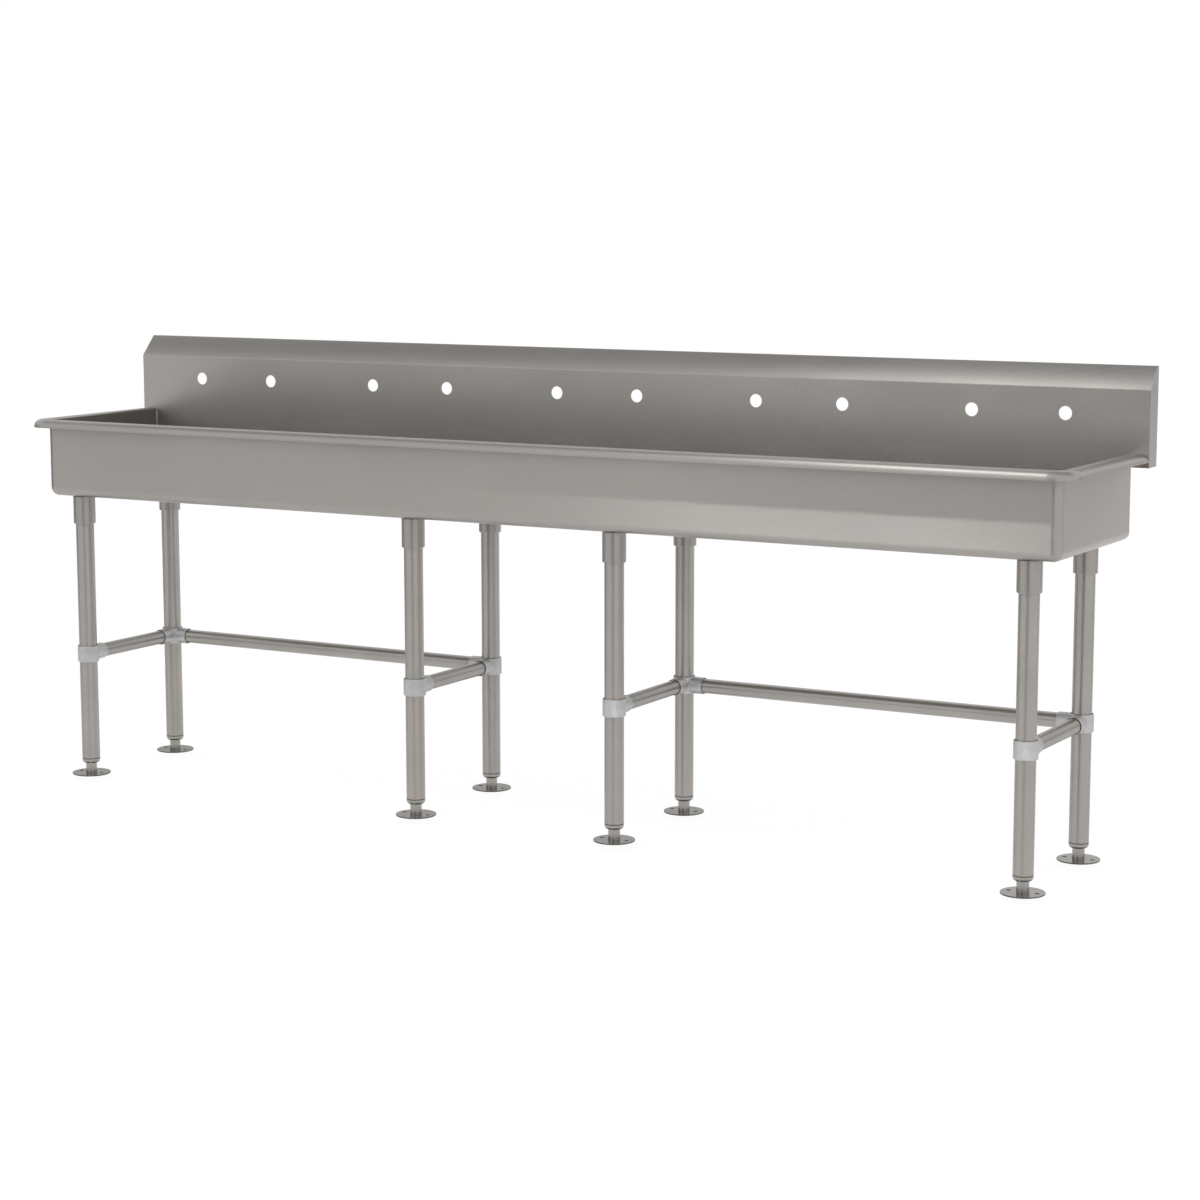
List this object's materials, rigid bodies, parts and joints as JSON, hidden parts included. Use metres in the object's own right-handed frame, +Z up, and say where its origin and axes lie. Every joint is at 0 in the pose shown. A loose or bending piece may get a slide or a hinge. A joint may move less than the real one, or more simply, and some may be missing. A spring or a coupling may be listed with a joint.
{
  "type": "trough sink",
  "caption": "Long floor-standing stainless trough sink with a high splash drilled for taps, rolled rim, tubular legs tied by rails in cast fittings, and screw-adjusted flanged feet.",
  "frame": {"origin": "centre of the footprint on the floor: midway along the length, midway between the front of the rim and the wall", "axes": "+X along the trough, towards the right as one stands at it; +Y towards the wall; +Z up"},
  "size_m": [2.54, 0.487, 1.0075],
  "materials": {
    "sheet_stainless": "satin, brushed along the length, 304 stainless sheet",
    "tube_stainless": "satin, ground round the tube, stainless",
    "socket_stainless": "satin, turned, stainless",
    "cast_fitting": "cast, tumbled, pale grey and matt",
    "foot_stainless": "turned and bright, stainless",
    "waste_stainless": "turned and polished, stainless",
    "screw_steel": "dark passivated socket grub screw",
    "seal_rubber": "black, moulded",
    "nut_brass": "cast brass, as machined"
  },
  "bodies": {
    "root": {"trough": "sheet_stainless", "splash": "sheet_stainless", "end_cap_left": "sheet_stainless", "end_cap_right": "sheet_stainless", "leg_socket_front_1": "socket_stainless", "leg_socket_front_2": "socket_stainless", "leg_socket_front_3": "socket_stainless", "leg_socket_front_4": "socket_stainless", "leg_socket_rear_1": "socket_stainless", "leg_socket_rear_2": "socket_stainless", "leg_socket_rear_3": "socket_stainless", "leg_socket_rear_4": "socket_stainless", "leg_front_1": "tube_stainless", "leg_front_2": "tube_stainless", "leg_front_3": "tube_stainless", "leg_front_4": "tube_stainless", "leg_rear_1": "tube_stainless", "leg_rear_2": "tube_stainless", "leg_rear_3": "tube_stainless", "leg_rear_4": "tube_stainless", "fitting_front_1": "cast_fitting", "fitting_front_2": "cast_fitting", "fitting_front_3": "cast_fitting", "fitting_front_4": "cast_fitting", "fitting_rear_1": "cast_fitting", "fitting_rear_2": "cast_fitting", "fitting_rear_3": "cast_fitting", "fitting_rear_4": "cast_fitting", "cross_rail_1": "tube_stainless", "cross_rail_2": "tube_stainless", "cross_rail_3": "tube_stainless", "cross_rail_4": "tube_stainless", "long_rail_left": "tube_stainless", "long_rail_right": "tube_stainless", "leg_inserts": "foot_stainless", "socket_screws": "screw_steel", "collar_screws": "screw_steel", "rail_screws": "screw_steel", "waste_body": "waste_stainless", "waste_gasket": "seal_rubber", "waste_nut": "nut_brass"},
    "flange_front_1": {"foot_flange_front_1": "foot_stainless"},
    "stem_front_1": {"foot_stem_front_1": "foot_stainless"},
    "flange_front_2": {"foot_flange_front_2": "foot_stainless"},
    "stem_front_2": {"foot_stem_front_2": "foot_stainless"},
    "flange_front_3": {"foot_flange_front_3": "foot_stainless"},
    "stem_front_3": {"foot_stem_front_3": "foot_stainless"},
    "flange_front_4": {"foot_flange_front_4": "foot_stainless"},
    "stem_front_4": {"foot_stem_front_4": "foot_stainless"},
    "flange_rear_1": {"foot_flange_rear_1": "foot_stainless"},
    "stem_rear_1": {"foot_stem_rear_1": "foot_stainless"},
    "flange_rear_2": {"foot_flange_rear_2": "foot_stainless"},
    "stem_rear_2": {"foot_stem_rear_2": "foot_stainless"},
    "flange_rear_3": {"foot_flange_rear_3": "foot_stainless"},
    "stem_rear_3": {"foot_stem_rear_3": "foot_stainless"},
    "flange_rear_4": {"foot_flange_rear_4": "foot_stainless"},
    "stem_rear_4": {"foot_stem_rear_4": "foot_stainless"},
    "strainer": {"strainer_cup": "waste_stainless"}
  },
  "joints": [
    {"name": "foot_height_front_1", "type": "slide", "parent": "root", "child": "flange_front_1", "axis": [0, 0, -1], "range_m": [-0.0127, 0.0127]},
    {"name": "foot_turn_front_1", "type": "hinge", "parent": "flange_front_1", "child": "stem_front_1", "pos_m": [-1.1605, -0.1685, 0.03], "axis": [0, 0, -1], "range_deg": [-1800, 1800]},
    {"name": "foot_height_front_2", "type": "slide", "parent": "root", "child": "flange_front_2", "axis": [0, 0, -1], "range_m": [-0.0127, 0.0127]},
    {"name": "foot_turn_front_2", "type": "hinge", "parent": "flange_front_2", "child": "stem_front_2", "pos_m": [-0.249, -0.1685, 0.03], "axis": [0, 0, -1], "range_deg": [-1800, 1800]},
    {"name": "foot_height_front_3", "type": "slide", "parent": "root", "child": "flange_front_3", "axis": [0, 0, -1], "range_m": [-0.0127, 0.0127]},
    {"name": "foot_turn_front_3", "type": "hinge", "parent": "flange_front_3", "child": "stem_front_3", "pos_m": [0.249, -0.1685, 0.03], "axis": [0, 0, -1], "range_deg": [-1800, 1800]},
    {"name": "foot_height_front_4", "type": "slide", "parent": "root", "child": "flange_front_4", "axis": [0, 0, -1], "range_m": [-0.0127, 0.0127]},
    {"name": "foot_turn_front_4", "type": "hinge", "parent": "flange_front_4", "child": "stem_front_4", "pos_m": [1.1605, -0.1685, 0.03], "axis": [0, 0, -1], "range_deg": [-1800, 1800]},
    {"name": "foot_height_rear_1", "type": "slide", "parent": "root", "child": "flange_rear_1", "axis": [0, 0, -1], "range_m": [-0.0127, 0.0127]},
    {"name": "foot_turn_rear_1", "type": "hinge", "parent": "flange_rear_1", "child": "stem_rear_1", "pos_m": [-1.1605, 0.1475, 0.03], "axis": [0, 0, -1], "range_deg": [-1800, 1800]},
    {"name": "foot_height_rear_2", "type": "slide", "parent": "root", "child": "flange_rear_2", "axis": [0, 0, -1], "range_m": [-0.0127, 0.0127]},
    {"name": "foot_turn_rear_2", "type": "hinge", "parent": "flange_rear_2", "child": "stem_rear_2", "pos_m": [-0.249, 0.1475, 0.03], "axis": [0, 0, -1], "range_deg": [-1800, 1800]},
    {"name": "foot_height_rear_3", "type": "slide", "parent": "root", "child": "flange_rear_3", "axis": [0, 0, -1], "range_m": [-0.0127, 0.0127]},
    {"name": "foot_turn_rear_3", "type": "hinge", "parent": "flange_rear_3", "child": "stem_rear_3", "pos_m": [0.249, 0.1475, 0.03], "axis": [0, 0, -1], "range_deg": [-1800, 1800]},
    {"name": "foot_height_rear_4", "type": "slide", "parent": "root", "child": "flange_rear_4", "axis": [0, 0, -1], "range_m": [-0.0127, 0.0127]},
    {"name": "foot_turn_rear_4", "type": "hinge", "parent": "flange_rear_4", "child": "stem_rear_4", "pos_m": [1.1605, 0.1475, 0.03], "axis": [0, 0, -1], "range_deg": [-1800, 1800]},
    {"name": "strainer_lift", "type": "slide", "parent": "root", "child": "strainer", "axis": [0, 0, 1], "range_m": [0, 0.25]}
  ],
  "couplings": [
    {"joint": "foot_turn_front_1", "follows": "foot_height_front_1", "rad_per_m": 2473.7},
    {"joint": "foot_turn_front_2", "follows": "foot_height_front_2", "rad_per_m": 2473.7},
    {"joint": "foot_turn_front_3", "follows": "foot_height_front_3", "rad_per_m": 2473.7},
    {"joint": "foot_turn_front_4", "follows": "foot_height_front_4", "rad_per_m": 2473.7},
    {"joint": "foot_turn_rear_1", "follows": "foot_height_rear_1", "rad_per_m": 2473.7},
    {"joint": "foot_turn_rear_2", "follows": "foot_height_rear_2", "rad_per_m": 2473.7},
    {"joint": "foot_turn_rear_3", "follows": "foot_height_rear_3", "rad_per_m": 2473.7},
    {"joint": "foot_turn_rear_4", "follows": "foot_height_rear_4", "rad_per_m": 2473.7}
  ]
}
